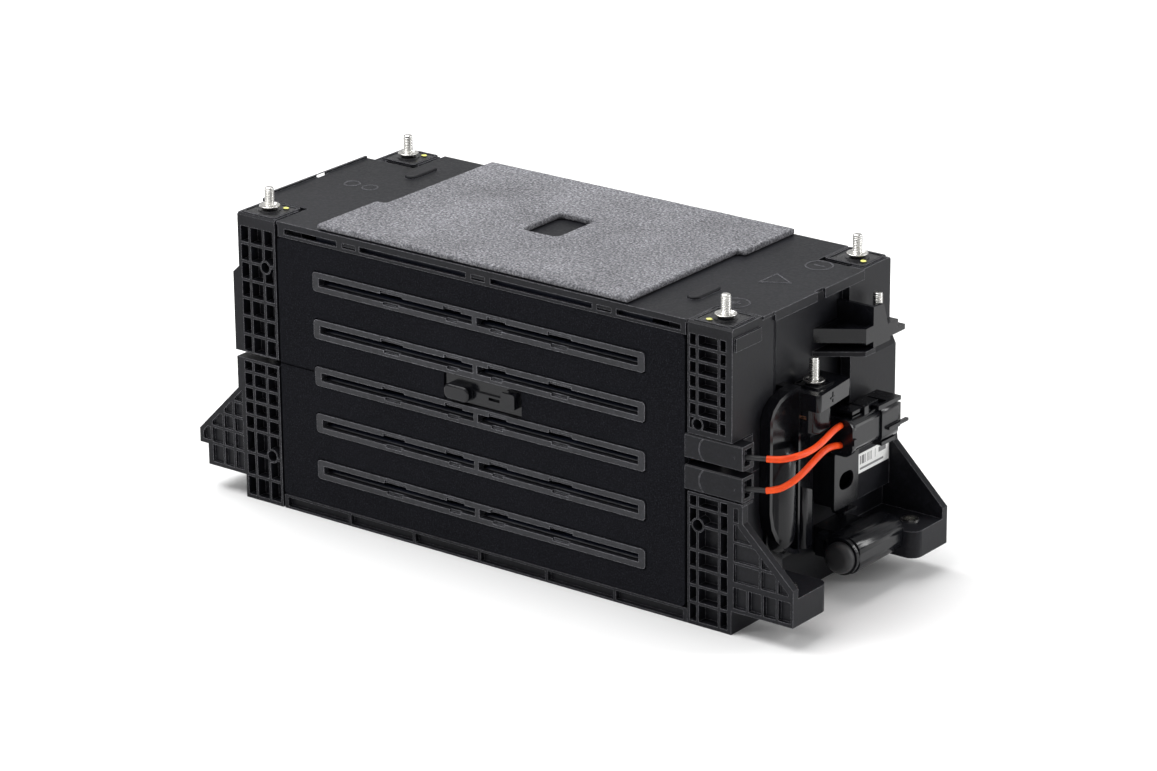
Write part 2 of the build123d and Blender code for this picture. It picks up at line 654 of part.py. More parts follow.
# ---- cover and foam pad ----
def top_cover():
    z0 = COVER_TOP - COVER_THICK
    edge_x = COLUMN_INNER - 0.4
    edge_y = PAD_Y - PAD_HALF - 0.4
    plate = block(-edge_x, edge_x, -HALF_Y, HALF_Y + 1.8, z0, COVER_TOP)
    plate = plate + block(-187.5, 181.4, -edge_y + 9.8, edge_y, z0, COVER_TOP)
    plate = plate + block(-185.0, 180.9, -edge_y, edge_y, z0, COVER_TOP)
    notches = [block(179.3, 190, 2.0, 10.0, z0 - 8, COVER_TOP + 1),
               block(-190, -184.6, 1.5, 10.5, z0 - 8, COVER_TOP + 1)]
    # hanging skirts
    front = block(-edge_x + 1.0, edge_x - 1.0, -HALF_Y, -HALF_Y + 1.9, 172.4, COVER_TOP)
    back = block(-edge_x + 1.0, edge_x - 1.0, HALF_Y - 1.9, HALF_Y, 172.4, COVER_TOP)
    right = block(180.1, 181.4, -39, edge_y, 175.8, COVER_TOP)
    left = block(-187.5, -186.0, -39, edge_y, 177.0, COVER_TOP + 1.2)
    cover = plate + [front, back, right, left] - notches

    windows = []
    for x0, x1 in ((-143.5, -103.5), (-86.0, -7.0), (11.0, 83.6), (100.6, 145.0)):
        for side in (-1, 1):
            y0, y1 = sorted((side * (HALF_Y + 1), side * (HALF_Y - 3)))
            windows.append(block(x0, x1, y0, y1, 174.4, 177.8))
    for x in (-94.0, 2.0, 92.0):
        for side in (-1, 1):
            y0, y1 = sorted((side * (HALF_Y + 1), side * (HALF_Y - 3)))
            windows.append(block(x - 5, x + 5, y0, y1, 174.6, 177.6))
    cover = cover - windows

    # snap pads inside the small windows
    pads = []
    for x in (-94.0, 2.0, 92.0):
        for side in (-1, 1):
            y0, y1 = sorted((side * (HALF_Y - 2.4), side * (HALF_Y - 0.9)))
            pads.append(block(x - 5.5, x + 5.5, y0, y1, 175.4, 178.4))
    # pill-shaped bumps, polarity rings and a triangle, all raised very slightly
    bumps = [pill(x, y, 26, 9, 1.6) for x, y in ((-139, 44), (131, -37))]
    marks = [ring_mark(155, -40, 8.2), ring_mark(156, 41, 8.2), ring_mark(-160, 4, 5.0),
             ring_mark(-146, 4, 5.0), triangle_mark(150, 6, 11)]
    marks.append(block(152, 158, -40.5, -39.5, COVER_TOP - 0.2, COVER_TOP + 0.3))
    marks.append(block(154.5, 155.5, -43, -37, COVER_TOP - 0.2, COVER_TOP + 0.3))
    marks.append(block(152.8, 159.2, 40.5, 41.5, COVER_TOP - 0.2, COVER_TOP + 0.3))
    return cover + pads + bumps + marks


def pill(x, y, length, width, height):
    """Long raised bump with round ends, running along Y."""
    shape = soft_slab(x - width / 2, x + width / 2, y - length / 2, y + length / 2,
                      COVER_TOP - 0.2, COVER_TOP + height, width / 2 - 0.1)
    return fillet(shape.faces().sort_by(Axis.Z)[-1].edges(), height * 0.7)


def ring_mark(x, y, radius):
    """Thin raised circle."""
    z0, z1 = COVER_TOP - 0.2, COVER_TOP + 0.3
    return post(x, y, z0, z1, radius) - post(x, y, z0 - 1, z1 + 1, radius - 0.6)


def triangle_mark(x, y, size):
    """Thin raised triangle."""
    def outline(s):
        return [(x - s * 0.5, y - s * 0.87), (x - s * 0.5, y + s * 0.87), (x + s, y)]
    z0, z1 = COVER_TOP - 0.2, COVER_TOP + 0.3
    return prism_xy(outline(size), z0, z1) - prism_xy(outline(size - 1.2), z0 - 1, z1 + 1)


def foam_pad():
    outline = [
        (-119, -77), (107.5, -77), (107.5, 29), (112.5, 29), (112.5, 79.5), (-112, 79.5),
        (-112, -22), (-119, -22),
    ]
    pad = prism_xy(outline, COVER_TOP, FOAM_TOP)
    return pad - soft_slab(-16, 9.5, -14, 23, COVER_TOP - 1, FOAM_TOP + 1, 3.0)


# ---- terminals ----
def positive_terminal_block():
    plate = prism_xy([(180.2, -22), (200, -22), (196, 15), (175.2, 15), (175.2, -22)], 120, 130)
    plate = fillet(plate.edges().filter_by(Axis.Z).sort_by(Axis.X)[-2:], 2.5)
    cup = block(175.2, 196.5, -21.8, -1.5, 103.6, 121)
    cup = fillet(cup.edges().filter_by(Axis.Z).sort_by(Axis.X)[-2:], 6.0)
    cup = fillet(cup.faces().sort_by(Axis.Z)[0].edges().sort_by(Axis.X)[1:], 3.6)
    web = block(175.2, 190, -3.0, 4, 106, 121)
    shape = plate + [cup, web]
    x, y = POSITIVE_STUD
    seat = soft_slab(x - 9, x + 8.4, y - 8.4, y + 8.4, 129.9, 131.0, 1.2)
    groove = soft_slab(x - 7.6, x + 7.0, y - 7.0, y + 7.0, 130.4, 132, 1.0)
    shape = shape + (seat - groove)
    # room for the riser bar and the stud's own shank
    room = block(177, 190.8, -47, -0.2, 113.8, 116.2)
    shape = shape - [room, post(x, y, 109.8, 140, SHANK_R)]
    # raised cross on the outer face
    mark = [block(198.4, 200.4, -9.0, -3.0, 124.4, 125.4), block(198.4, 200.4, -6.5, -5.5, 122, 128)]
    inside = prism_xy([(180.2, -21), (200.4, -21), (196.4, 14), (175.2, 14), (175.2, -21)], 119, 131)
    return shape + [piece & inside for piece in mark]


def terminal_stud(x, y, foot, seat, top):
    """M6 stud with a flared collar."""
    thread = post(x, y, seat + 0.5, top, ROD_R)
    thread = chamfer(thread.edges().sort_by(Axis.Z)[-1], 0.9)
    shank = thread + post(x, y, foot, seat + 1.0, SHANK_R)
    collar = post(x, y, seat, seat + 0.9, 4.6) + Pos(x, y, seat + 1.5) * Cone(4.6, 6.4, 1.2)
    return shank + collar


def negative_terminal_guard():
    """Upright fence with a three-cornered shelf and a side clip."""
    shelf = prism_xy([(175.2, 7.2), (200, 24), (200, 33.4), (175.2, 33.4)], 148.6, 157.0)
    shelf = shelf - prism_xy([(177.5, 11), (197.6, 24.8), (197.6, 31.6), (177.5, 31.6)], 155.4, 158)
    wall = block(175.2, 200, 31.4, 33.8, 143.6, 168.0)
    end = [
        (31.4, 143.6), (48.8, 143.6), (48.8, 146.5), (41.8, 167.3), (33.4, 168.0), (31.4, 166.0),
    ]
    cheek = prism_yz(end, 197.4, 200)
    pocket = prism_yz([(24, 147.5), (24, 156), (32, 157), (32, 147.5)], 197.0, 200)
    nub = block(194, 200, 48.6, 56.7, 147.0, 154.0)
    hook = block(195.4, 200, 46.0, 50, 147.0, 154.0)
    base = block(180.2, 200, 33.0, 64.0, 145.8, 149.0)
    x, y = NEGATIVE_STUD
    arm_room = block(170, 196, 42.8, 55.2, 142.0, 144.8)
    return shelf + [wall, cheek, pocket, nub, hook, base] - [arm_room, post(x, y, 140, 160, SHANK_R)]


# ---- right-hand covers, duct and brackets ----
def riser_cover():
    """Moulded cover over the positive riser: a rounded bulge inside a long arched rim."""
    skin = block(175.2, 177.4, -28.6, 2, 28, 112)
    arch = [
        (-52, 66), (-52, 121), (-49, 127), (-43, 131.6), (-34, 134), (-22.2, 134),
        (-22.2, 33), (-28.6, 34.5), (-38, 40.5), (-45.5, 48), (-50, 56),
    ]
    recess = [
        (-49.4, 66.5), (-49.4, 120.4), (-46.8, 125.4), (-41.6, 129.2), (-33.4, 131.4), (-24, 131.4),
        (-24, 35.9), (-28, 37.2), (-36.4, 42.8), (-43.4, 49.8), (-47.6, 57.2),
    ]
    shroud = prism_yz(arch, 180.2, 187.4) - prism_yz(recess, 182.4, 188)
    link = block(175.2, 181, -28.6, -22.2, 33, 134)
    strip = [block(180.8, 182.4, -42.8, -32, 13, 36), block(180.8, 182.4, -48, -32, 31.2, 62)]
    bulge = post(177.0, -34.5, 48.2, 97.0, 13.2) + Pos(177.0, -34.5, 48.2) * Sphere(13.2)
    bulge = bulge + Pos(177.0, -34.5, 99.0) * Cone(13.2, 10.0, 4.0)
    bulge = bulge - block(160, 180.2, -60, -39, 20, 130) - block(160, 175.2, -60, 0, 20, 130)
    bulge = bulge - prism_xy([(174, -42), (180.2, -39), (175.2, -28.8), (170, -28.8)], 20, 130)
    side_lobe = prism_yz([(-17, 33), (-6, 33), (-6, 62), (-10, 68), (-17, 71)], 175.2, 187)
    side_lobe = fillet(side_lobe.edges().filter_by(Axis.Z).sort_by(Axis.X)[-2:], 3.4)
    cover = skin + [shroud, link, bulge, side_lobe] + strip
    room = block(178.2, 181.0, -46.4, -33.6, 10, 118)
    arm_room = block(178.2, 181.0, -46.4, -10, 113.6, 116.4)
    block_room = block(175, 198, -22.0, 6.4, 103.4, 122)
    return cover - [room, arm_room, block_room]


def lead_housing(z0, z1, lead_z):
    """Plain block beside the column that takes in one lead."""
    body = block(147.8, HALF_X, -HALF_Y, -59.0, z0, z1)
    body = body + block(HALF_X - 1, HOUSING_END, -HALF_Y, -67.5, z0, z1)
    body = chamfer([edge for edge in body.edges().filter_by(Axis.X) if edge.center().Y < -70], 0.7)
    end_pocket = block(183.4, 190, -76.6, -69.2, z0 + 2.2, z1 - 2.2)
    gland = sleeve(lead_z, 2.9, -1.0, 4.4)
    latch = block(183.4, 187.1, -71.0, -69.0, z0 + 2.2, z0 + 4.0)
    body = body - end_pocket + [gland, latch]
    mark = rod_y(166, (z0 + z1) / 2, -79, -HALF_Y + 0.35, 8.6)
    mark = mark - rod_y(166, (z0 + z1) / 2, -80, -70, 8.1)
    mark = mark & block(150, 166, -80, -70, z0 + 1, z1 - 1)
    lead_hole = sleeve(lead_z, SLEEVE_R, 0, SLEEVE_LENGTH)
    return body - mark - [lead_hole, post(ROD_X, -ROD_Y, z0 - 1, z1 + 1, ROD_R + 0.3)]


UPPER_ROUTE = [
    (197.0, -69.2, 107.0), (203.0, -66.7, 107.0), (207.4, -62.6, 107.6), (210.0, -57.0, 108.0),
    (210.8, -49.0, 107.8), (209.2, -36.5, 107.4), (205.0, -20.0, 107.6), (200.0, -6.0, 106.4),
    (195.6, 6.6, 103.6),
]
LOWER_ROUTE = [
    (197.0, -69.2, 88.2), (203.0, -66.7, 88.2), (207.2, -62.6, 89.0), (209.6, -57.0, 91.0),
    (210.0, -49.4, 94.0), (208.0, -37.5, 97.2), (203.6, -22.5, 98.8), (199.0, -7.5, 96.8),
    (195.4, 6.6, 91.4),
]


def lead(route, name):
    """Lead as straight runs joined by the largest arcs that fit."""
    runs = [(Vector(*b) - Vector(*a)) for a, b in zip(route, route[1:])]
    radii = []
    for before, after in zip(runs, runs[1:]):
        turn = math.radians(before.get_angle(after))
        radii.append(0.45 * min(before.length, after.length) / math.tan(turn / 2))
    print(name, "radii", [round(r, 1) for r in radii])
    path = FilletPolyline(*route, radius=radii)
    section = Plane(origin=path @ 0, z_dir=path % 0) * Circle(LEAD_R)
    tube = sweep(section, path=path)
    ideal = math.pi * LEAD_R ** 2 * path.length
    print(name, "length", round(path.length, 1), "volume ratio", round(tube.volume / ideal, 4))
    return tube


def sleeve(z, radius, inner_end, outer_end):
    """Cylinder along the slanted line on which a lead leaves its housing."""
    start = Vector(*SLEEVE_TIP, z) - sleeve_direction() * (SLEEVE_LENGTH - inner_end)
    length = outer_end - inner_end
    return Plane(origin=start, z_dir=sleeve_direction()) * Pos(0, 0, length / 2) * Cylinder(radius, length)


def sleeve_direction():
    turn = math.radians(SLEEVE_TURN)
    return Vector(math.cos(turn), math.sin(turn), 0)


def lead_sleeves():
    """Black sleeves where the leads leave their housings."""
    return [sleeve(z, SLEEVE_R, 0, SLEEVE_LENGTH) for z in (UPPER_LEAD_Z, LOWER_LEAD_Z)]


CONN_X = 195.0
CONN_Z = 96.6


def lead_connector(leads):
    """Plug half, with a collar at the rear that the leads run into."""
    collar = soft_bar_y(CONN_X - 9.4, CONN_X + 9.4, CONN_Z - 11.2, CONN_Z + 11.2, 5.0, 8.6, 6.0)
    body = soft_bar_y(CONN_X - 8.2, CONN_X + 8.2, CONN_Z - 9.8, CONN_Z + 9.8, 8.6, 35.0, 4.0)
    rail = block(CONN_X - 4.5, CONN_X + 4.5, 12, 30, CONN_Z + 9.6, CONN_Z + 10.8)
    ear = block(CONN_X + 8.6, CONN_X + 10.6, 5.0, 8.0, CONN_Z - 3.4, CONN_Z + 0.4)
    cheeks = [block(CONN_X + side * 4.6, CONN_X + side * 6.0, 22, 26, CONN_Z + 9.0, CONN_Z + 14.4)
              for side in (-1, 1)]
    return collar + [body, rail, ear] + cheeks - leads


def connector_header():
    """Fixed half, with its shroud and guide rails."""
    shroud = soft_bar_y(CONN_X - 9.4, CONN_X + 9.4, CONN_Z - 11.0, CONN_Z + 10.4, 35.2, 52.0, 4.0)
    hood_left = block(CONN_X - 8.4, CONN_X - 6.4, 33.0, 56.0, CONN_Z + 9.4, CONN_Z + 12.0)
    hood_right = block(CONN_X + 6.4, CONN_X + 8.4, 33.0, 56.0, CONN_Z + 9.4, CONN_Z + 12.0)
    roof = block(CONN_X - 8.4, CONN_X + 8.4, 44.0, 56.0, CONN_Z + 10.2, CONN_Z + 12.0)
    wing = block(CONN_X + 9.0, CONN_X + 11.2, 40, 60, CONN_Z - 4.0, CONN_Z - 2.2)
    tail = block(CONN_X - 7, CONN_X + 7, 51.8, 58, CONN_Z - 7.6, CONN_Z + 7)
    lower = block(CONN_X - 6, CONN_X + 8.8, 36, 50, CONN_Z - 13.0, CONN_Z - 10.6)
    foot = block(184.7, CONN_X - 8.8, 36, 50, CONN_Z - 8, CONN_Z + 8)
    return shroud + [hood_left, hood_right, roof, wing, tail, lower, foot]


LATCH_PIVOT = (24.0, CONN_Z + 12.8)


def connector_latch():
    """Spring-back lever on top of the plug, hooked over the header."""
    y, z = LATCH_PIVOT
    lever = block(CONN_X - 4.2, CONN_X + 4.2, y - 10, y + 14.5, z - 0.8, z + 1.0)
    thumb = block(CONN_X - 5.4, CONN_X + 5.4, y - 13.5, y - 6.0, z - 0.2, z + 1.9)
    barrel = rod_x(y, z, CONN_X - 4.2, CONN_X + 4.2, 1.6)
    tooth = block(CONN_X - 3.0, CONN_X + 3.0, y + 12.2, y + 14.5, z - 1.5, z + 0.4)
    return lever + [thumb, barrel, tooth]


def connector_bracket():
    """Flat tab below the connector, on two legs from the end wall."""
    tab = block(188.0, 190.2, 8.4, 33.0, 48.6, 84.2)
    tab = fillet(tab.edges().filter_by(Axis.X), 2.0)
    hole = Pos(189.1, 20.6, 64.6) * Rot(0, 90, 0) * extrude(SlotOverall(14.4, 10.4, rotation=90), 4, both=True)
    tab = tab - hole
    legs = [block(175.2, 188.4, 8.6, 10.6, 52, 82), block(175.2, 188.4, 29.4, 31.2, 52, 82)]
    heel = block(175.2, 188.4, 10, 30, 50.2, 52.4)
    cradle = block(186.6, 190.2, 10, 31, 83.6, CONN_Z - 10.0)
    latch = block(184, 192.6, 15.5, 28.5, 44.8, 46.6)
    latch_arm = block(184, 186, 15.5, 28.5, 44.8, 51)
    return tab + legs + [heel, cradle, latch, latch_arm]


def vent_manifold():
    """Gas duct along the foot of the right end."""
    x, z = CAP_CENTRE
    duct = soft_bar_y(189.0, 214.0, 17.4, 39.4, 0, 44.6, 8.5)
    collar = rod_y(x - 0.8, z, -3.0, 0.4, 11.2)
    neck = block(177.6, 192, 8, 36.2, 19.5, 37)
    stem = block(175.2, 178, 10, 36, 20, 36.6)
    shell = duct + [collar, neck, stem]
    bore = rod_y(x, z, -4, 9.0, CAP_TRAVEL_BORE)
    lug = block(186, 190.4, -2.4, 3, 30, 38.5)
    return shell + lug - bore


def vent_cap():
    """Domed rubber plug, pulled off towards the front."""
    x, z = CAP_CENTRE
    head = rod_y(x, z, -9.4, -3.2, 9.4)
    head = fillet(head.faces().sort_by(Axis.Y)[0].edges(), 4.2)
    spigot = rod_y(x, z, -3.6, 7.4, CAP_SPIGOT_R)
    return head + spigot


def data_label():
    return block(184.5, 184.8, 40.8, 72.4, 60.6, 72.6)


# ---- build everything ----
def build_all():
    os.makedirs("parts", exist_ok=True)
    save("base_tray", base_tray())
    save("lower_left_end_frame", lower_left_end_frame())
    save("upper_left_end_frame", upper_left_end_frame())
    save("lower_right_end_frame", lower_right_end_frame())
    save("upper_right_end_frame", upper_right_end_frame())
    save("top_cover", top_cover())
    save("foam_pad", foam_pad())
    save("front_gasket", gasket(-1))
    save("rear_gasket", gasket(1))
    for i in range(LAYERS - 1):
        save("channel_spacer_%d" % (i + 1), channel_spacer(i))
    for i in range(LAYERS):
        save("cell_left_%d" % (i + 1), cell(-1, i))
        save("cell_right_%d" % (i + 1), cell(1, i))
    save("cell_terminals", group(cell_terminals()))
    save("cell_vents", group(cell_vents()))
    save("busbars_left", group(busbars(-1)))
    save("busbars_right", group(busbars(1)))
    save("upper_crossover_bar", upper_crossover_bar())
    save("lower_crossover_bar", lower_crossover_bar())
    save("positive_riser_bar", positive_riser_bar())
    save("negative_link_bar", negative_link_bar())
    save("monitor_board", monitor_board())
    save("lower_compression_plates", group([compression_plates(2.1, 3.4)]))
    save("upper_compression_plates", group([compression_plates(178.1, 179.4)]))
    save("tie_rods", group(tie_rods()))
    save("cup_washers", group(cup_washers()))
    save("corner_plates", group(corner_plates()))
    save("foot_bushes", group(foot_bushes()))
    save("positive_terminal_block", positive_terminal_block())
    save("positive_terminal_stud", terminal_stud(*POSITIVE_STUD, 110, 130.4, 146))
    save("negative_terminal_guard", negative_terminal_guard())
    save("negative_terminal_stud", terminal_stud(*NEGATIVE_STUD, 140, 149.0, 168))
    save("riser_cover", riser_cover())
    save("upper_lead_housing", lead_housing(99.8, 114.2, UPPER_LEAD_Z))
    save("lower_lead_housing", lead_housing(80.9, 95.7, LOWER_LEAD_Z))
    leads = [lead(UPPER_ROUTE, "upper lead"), lead(LOWER_ROUTE, "lower lead")]
    save("upper_lead", leads[0])
    save("lower_lead", leads[1])
    save("lead_sleeves", group(lead_sleeves()))
    save("lead_connector", lead_connector(leads))
    save("connector_header", connector_header())
    save("connector_latch", connector_latch())
    save("connector_bracket", connector_bracket())
    save("vent_manifold", vent_manifold())
    save("vent_cap", vent_cap())
    save("data_label", data_label())
    save("harness_clip", harness_clip())
    print(len(written), "sub-parts")


build_all()
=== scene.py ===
import json
import math
import bmesh
import bpy
from mathutils import Matrix, Vector, noise


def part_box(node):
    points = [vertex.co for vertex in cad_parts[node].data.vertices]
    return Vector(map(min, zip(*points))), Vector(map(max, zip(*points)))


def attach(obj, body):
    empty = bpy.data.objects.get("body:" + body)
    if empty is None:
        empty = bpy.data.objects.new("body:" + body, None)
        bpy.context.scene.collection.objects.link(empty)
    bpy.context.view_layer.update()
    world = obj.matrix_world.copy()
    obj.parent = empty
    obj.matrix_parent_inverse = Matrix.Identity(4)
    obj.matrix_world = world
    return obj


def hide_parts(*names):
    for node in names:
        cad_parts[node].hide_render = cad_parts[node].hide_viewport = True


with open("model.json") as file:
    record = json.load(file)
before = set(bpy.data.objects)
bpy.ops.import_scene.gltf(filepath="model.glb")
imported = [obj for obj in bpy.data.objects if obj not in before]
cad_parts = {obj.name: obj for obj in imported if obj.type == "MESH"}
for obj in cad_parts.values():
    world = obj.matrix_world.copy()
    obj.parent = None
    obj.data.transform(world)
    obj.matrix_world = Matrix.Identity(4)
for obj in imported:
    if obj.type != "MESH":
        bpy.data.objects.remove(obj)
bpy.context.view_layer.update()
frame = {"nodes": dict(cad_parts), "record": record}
NODES = frame["nodes"]
MM = 0.001


# ---------------------------------------------------------------- camera
# Place in millimetres, angles in degrees.
CAMERA_PLACE = (1515.31, -1967.70, 998.59)
CAMERA_AZIMUTH = 37.346
CAMERA_ELEVATION = 20.153
CAMERA_ROLL = -0.471
LENS = 139.37
SENSOR_WIDTH = 36


def make_camera():
    """Camera at the viewing angle of the reference, looking down at the module's right front corner."""
    azimuth, elevation, roll = (math.radians(a) for a in (CAMERA_AZIMUTH, CAMERA_ELEVATION, CAMERA_ROLL))
    back = Vector((math.sin(azimuth) * math.cos(elevation), -math.cos(azimuth) * math.cos(elevation),
                   math.sin(elevation)))
    right = Vector((math.cos(azimuth), math.sin(azimuth), 0))
    up = back.cross(right)
    side = math.cos(roll) * right + math.sin(roll) * up
    top = math.cos(roll) * up - math.sin(roll) * right
    data = bpy.data.cameras.new("camera")
    data.lens = LENS
    data.sensor_width = SENSOR_WIDTH
    data.clip_end = 50
    camera = bpy.data.objects.new("camera", data)
    bpy.context.scene.collection.objects.link(camera)
    turn = Matrix((side, top, back)).transposed().to_4x4()
    camera.matrix_world = Matrix.Translation(Vector(CAMERA_PLACE) * MM) @ turn
    bpy.context.scene.camera = camera


# ---------------------------------------------------------------- shader helpers
def grey(value):
    return (value, value, value, 1)


class Shader:
    """A material's node tree, with short ways to add and join nodes."""

    def __init__(self, name):
        self.material = bpy.data.materials.new(name)
        self.material.use_nodes = True
        self.nodes = self.material.node_tree.nodes
        self.links = self.material.node_tree.links
        self.nodes.clear()
        surface = self.nodes.new("ShaderNodeOutputMaterial").inputs["Surface"]
        self.bsdf = self.nodes.new("ShaderNodeBsdfPrincipled")
        self.links.new(self.bsdf.outputs["BSDF"], surface)
        self.place = self.nodes.new("ShaderNodeTexCoord").outputs["Object"]

    def feed(self, socket, value):
        """Join a socket to an input, or set the input to a plain value."""
        if isinstance(value, bpy.types.NodeSocket):
            self.links.new(value, socket)
        else:
            socket.default_value = value

    def add(self, kind, **inputs):
        node = self.nodes.new(kind)
        for key, value in inputs.items():
            self.feed(node.inputs[key.replace("_", " ")], value)
        return node

    def math(self, kind, a, b):
        node = self.nodes.new("ShaderNodeMath")
        node.operation = kind
        self.feed(node.inputs[0], a)
        self.feed(node.inputs[1], b)
        return node.outputs[0]

    def noise(self, scale, detail=2.0, roughness=0.5, place=None):
        node = self.add("ShaderNodeTexNoise", Scale=scale, Detail=detail, Roughness=roughness)
        self.links.new(place or self.place, node.inputs["Vector"])
        return node.outputs["Fac"]

    def stretched(self, scale):
        """Object coordinates scaled by a different amount along each axis."""
        node = self.nodes.new("ShaderNodeMapping")
        node.inputs["Scale"].default_value = scale
        self.links.new(self.place, node.inputs["Vector"])
        return node.outputs["Vector"]

    def ramp(self, factor, stops):
        node = self.nodes.new("ShaderNodeValToRGB")
        while len(node.color_ramp.elements) < len(stops):
            node.color_ramp.elements.new(0.5)
        for element, (position, colour) in zip(node.color_ramp.elements, stops):
            element.position = position
            element.color = grey(colour) if isinstance(colour, float) else (*colour, 1)
        self.links.new(factor, node.inputs["Fac"])
        return node.outputs["Color"]

    def remap(self, value, low, high, start=0.3, end=0.7):
        node = self.nodes.new("ShaderNodeMapRange")
        for key, number in (("From Min", start), ("From Max", end), ("To Min", low), ("To Max", high)):
            node.inputs[key].default_value = number
        self.links.new(value, node.inputs["Value"])
        return node.outputs["Result"]

    def mix(self, factor, a, b, blend="MIX"):
        """Mix two colours; inputs 6 and 7 and output 2 are the node's colour sockets."""
        node = self.nodes.new("ShaderNodeMix")
        node.data_type = "RGBA"
        node.blend_type = blend
        for socket, value in ((node.inputs[0], factor), (node.inputs[6], a), (node.inputs[7], b)):
            self.feed(socket, value)
        return node.outputs[2]

    def bump(self, height, distance, strength=1.0, normal=None):
        node = self.add("ShaderNodeBump", Strength=strength, Distance=distance, Height=height)
        if normal is not None:
            self.links.new(normal, node.inputs["Normal"])
        return node.outputs["Normal"]

    def edges(self, radius):
        """Mask that is 1 along sharp edges, from how far a rounded normal leans away from the true one."""
        rounded = self.nodes.new("ShaderNodeBevel")
        rounded.samples = 4
        rounded.inputs["Radius"].default_value = radius
        true = self.nodes.new("ShaderNodeNewGeometry").outputs["Normal"]
        dot = self.nodes.new("ShaderNodeVectorMath")
        dot.operation = "DOT_PRODUCT"
        self.links.new(rounded.outputs["Normal"], dot.inputs[0])
        self.links.new(true, dot.inputs[1])
        return self.remap(dot.outputs["Value"], 1.0, 0.0, 0.80, 0.97)

    def set(self, **inputs):
        for key, value in inputs.items():
            self.feed(self.bsdf.inputs[key.replace("_", " ")], value)


# ---------------------------------------------------------------- materials
# Width of the edge mask along which a lighter colour is painted: a painted edge highlight, partly edge wear.
EDGE_WEAR_AND_HIGHLIGHT_WIDTH = 0.0006


def moulded_plastic(name, dark, light, grain=1500.0, depth=0.00006, rough=(0.36, 0.52), specular=0.17,
                    edge_wear_and_highlight=0.34):
    """Moulded plastic with a fine grain and faint flow marks; its last argument sets how light the colour
    painted along its edges is, a painted edge highlight and partly edge wear.
    """
    s = Shader(name)
    broad = s.noise(14.0, 3.0)
    fine = s.noise(grain, 2.0, 0.6)
    speck = s.noise(grain * 0.35, 3.0, 0.7)
    tone = s.mix(s.remap(broad, 0.0, 1.0), (*dark, 1), (*light, 1))
    fleck = s.mix(s.remap(speck, 0.0, 0.5, 0.45, 0.75), tone, (*[c * 2.4 for c in light], 1))
    if edge_wear_and_highlight:
        # Lighter colour painted along sharp edges: a painted edge highlight, partly edge wear.
        edge_wear_and_highlight_mask = s.math("MULTIPLY", s.edges(EDGE_WEAR_AND_HIGHLIGHT_WIDTH), s.remap(speck, 0.25, 1.0))
        fleck = s.mix(edge_wear_and_highlight_mask, fleck, (edge_wear_and_highlight, edge_wear_and_highlight, edge_wear_and_highlight * 1.08, 1))
    s.set(Base_Color=fleck, Roughness=s.remap(speck, *rough), Specular_IOR_Level=specular)
    s.set(Normal=s.bump(fine, depth, 0.5, s.bump(speck, depth * 2.2, 0.4)))
    return s.material


def foam_material():
    """Grey open-cell foam: pale grains with dark pits."""
    s = Shader("foam")
    pits = s.add("ShaderNodeTexVoronoi", Scale=900.0)
    s.links.new(s.place, pits.inputs["Vector"])
    grains = s.noise(700.0, 4.0, 0.75)
    broad = s.noise(22.0, 4.0, 0.6)
    tone = s.ramp(grains, [(0.3, (0.035, 0.035, 0.039)), (0.5, (0.19, 0.19, 0.205)),
                           (0.7, (0.5, 0.5, 0.53))])
    shade = s.ramp(broad, [(0.3, 0.72), (0.7, 1.0)])
    s.set(Base_Color=s.mix(1.0, tone, shade, "MULTIPLY"), Roughness=0.95, Specular_IOR_Level=0.1)
    s.set(Normal=s.bump(grains, 0.0006, 0.8, s.bump(pits.outputs["Distance"], 0.0004, 0.5)))
    return s.material


def mat_material():
    """Blue-black foam skin with a very fine leather-like grain and almost no shine."""
    s = Shader("sealing_mat")
    grain = s.noise(1300.0, 3.0, 0.7)
    broad = s.noise(16.0, 3.0)
    fleck = s.ramp(grain, [(0.38, (0.0025, 0.0027, 0.0038)), (0.56, (0.007, 0.0074, 0.0098)),
                           (0.74, (0.024, 0.025, 0.031))])
    tone = s.mix(s.remap(broad, 0.0, 0.3), fleck, (0.01, 0.0102, 0.0135, 1))
    s.set(Base_Color=tone, Roughness=0.9, Specular_IOR_Level=0.08)
    s.set(Normal=s.bump(grain, 0.0003, 0.7))
    return s.material


def zinc_material(name="bright_zinc", tint=(0.82, 0.81, 0.78), rough=(0.16, 0.34)):
    """Bright zinc plate, slightly clouded and scratched."""
    s = Shader(name)
    cloud = s.noise(320.0, 4.0, 0.6)
    scratch = s.noise(120.0, 2.0, 0.5, s.stretched((1, 1, 14)))
    dull = tuple(c * 0.8 for c in tint)
    s.set(Base_Color=s.mix(s.remap(cloud, 0.0, 1.0), (*tint, 1), (*dull, 1)), Metallic=1.0)
    s.set(Roughness=s.remap(scratch, *rough), Normal=s.bump(cloud, 0.00004, 0.5))
    return s.material


def copper_material():
    """Rolled copper bar with faint tarnish."""
    s = Shader("bar_copper")
    cloud = s.noise(60.0, 4.0, 0.6)
    grain = s.noise(500.0, 2.0, 0.5, s.stretched((0.2, 3, 3)))
    tone = s.mix(s.remap(cloud, 0.0, 1.0), (0.86, 0.48, 0.3, 1), (0.6, 0.3, 0.2, 1))
    s.set(Base_Color=tone, Metallic=1.0)
    s.set(Roughness=s.remap(grain, 0.22, 0.4), Normal=s.bump(grain, 0.00003, 0.5))
    return s.material


def can_material():
    """Dark blue insulating film over the can, with faint wrinkles along its length."""
    s = Shader("cell_can")
    wrinkle = s.noise(260.0, 2.0, 0.5, s.stretched((1, 1, 9)))
    cloud = s.noise(25.0, 3.0)
    tone = s.mix(s.remap(cloud, 0.0, 1.0), (0.006, 0.008, 0.016, 1), (0.01, 0.013, 0.026, 1))
    s.set(Base_Color=tone, Roughness=s.remap(wrinkle, 0.3, 0.48), Normal=s.bump(wrinkle, 0.00005, 0.5))
    return s.material


